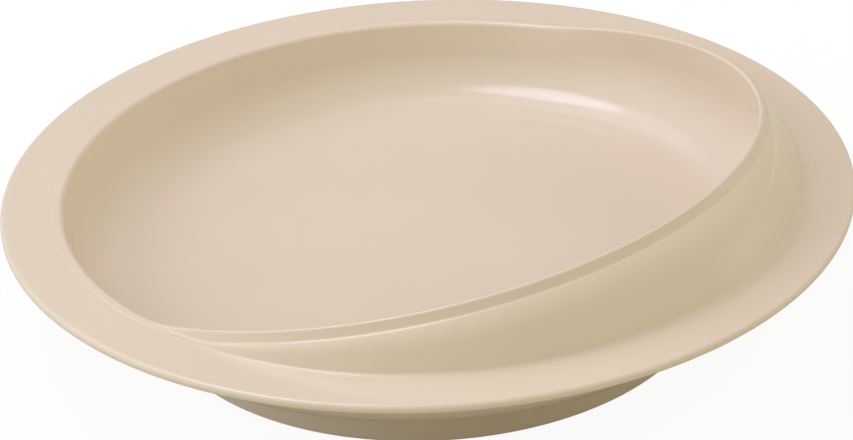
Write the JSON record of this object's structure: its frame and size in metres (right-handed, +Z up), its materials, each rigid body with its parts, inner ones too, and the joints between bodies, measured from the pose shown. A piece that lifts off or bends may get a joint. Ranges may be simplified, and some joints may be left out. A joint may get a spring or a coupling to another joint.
{
  "type": "scoop plate",
  "caption": "Round moulded plate with a flat rim and a well whose wall rises on a side so that food can be scooped against it, standing on a foot ring with a soft non-slip tread.",
  "frame": {"origin": "on the plate's axis, at the surface that it stands on", "axes": "+Z up along the axis of the rim, +X towards the highest point of the raised wall; the XZ plane is the mirror plane"},
  "size_m": [0.203, 0.203, 0.0507],
  "materials": {
    "plate_shell": "satin-gloss moulded beige",
    "foot_ring": "satin moulded beige",
    "nonslip_tread": "matt soft taupe rubber"
  },
  "bodies": {
    "root": {"plate_shell": "plate_shell", "foot_ring": "foot_ring", "nonslip_tread": "nonslip_tread"}
  },
  "joints": []
}
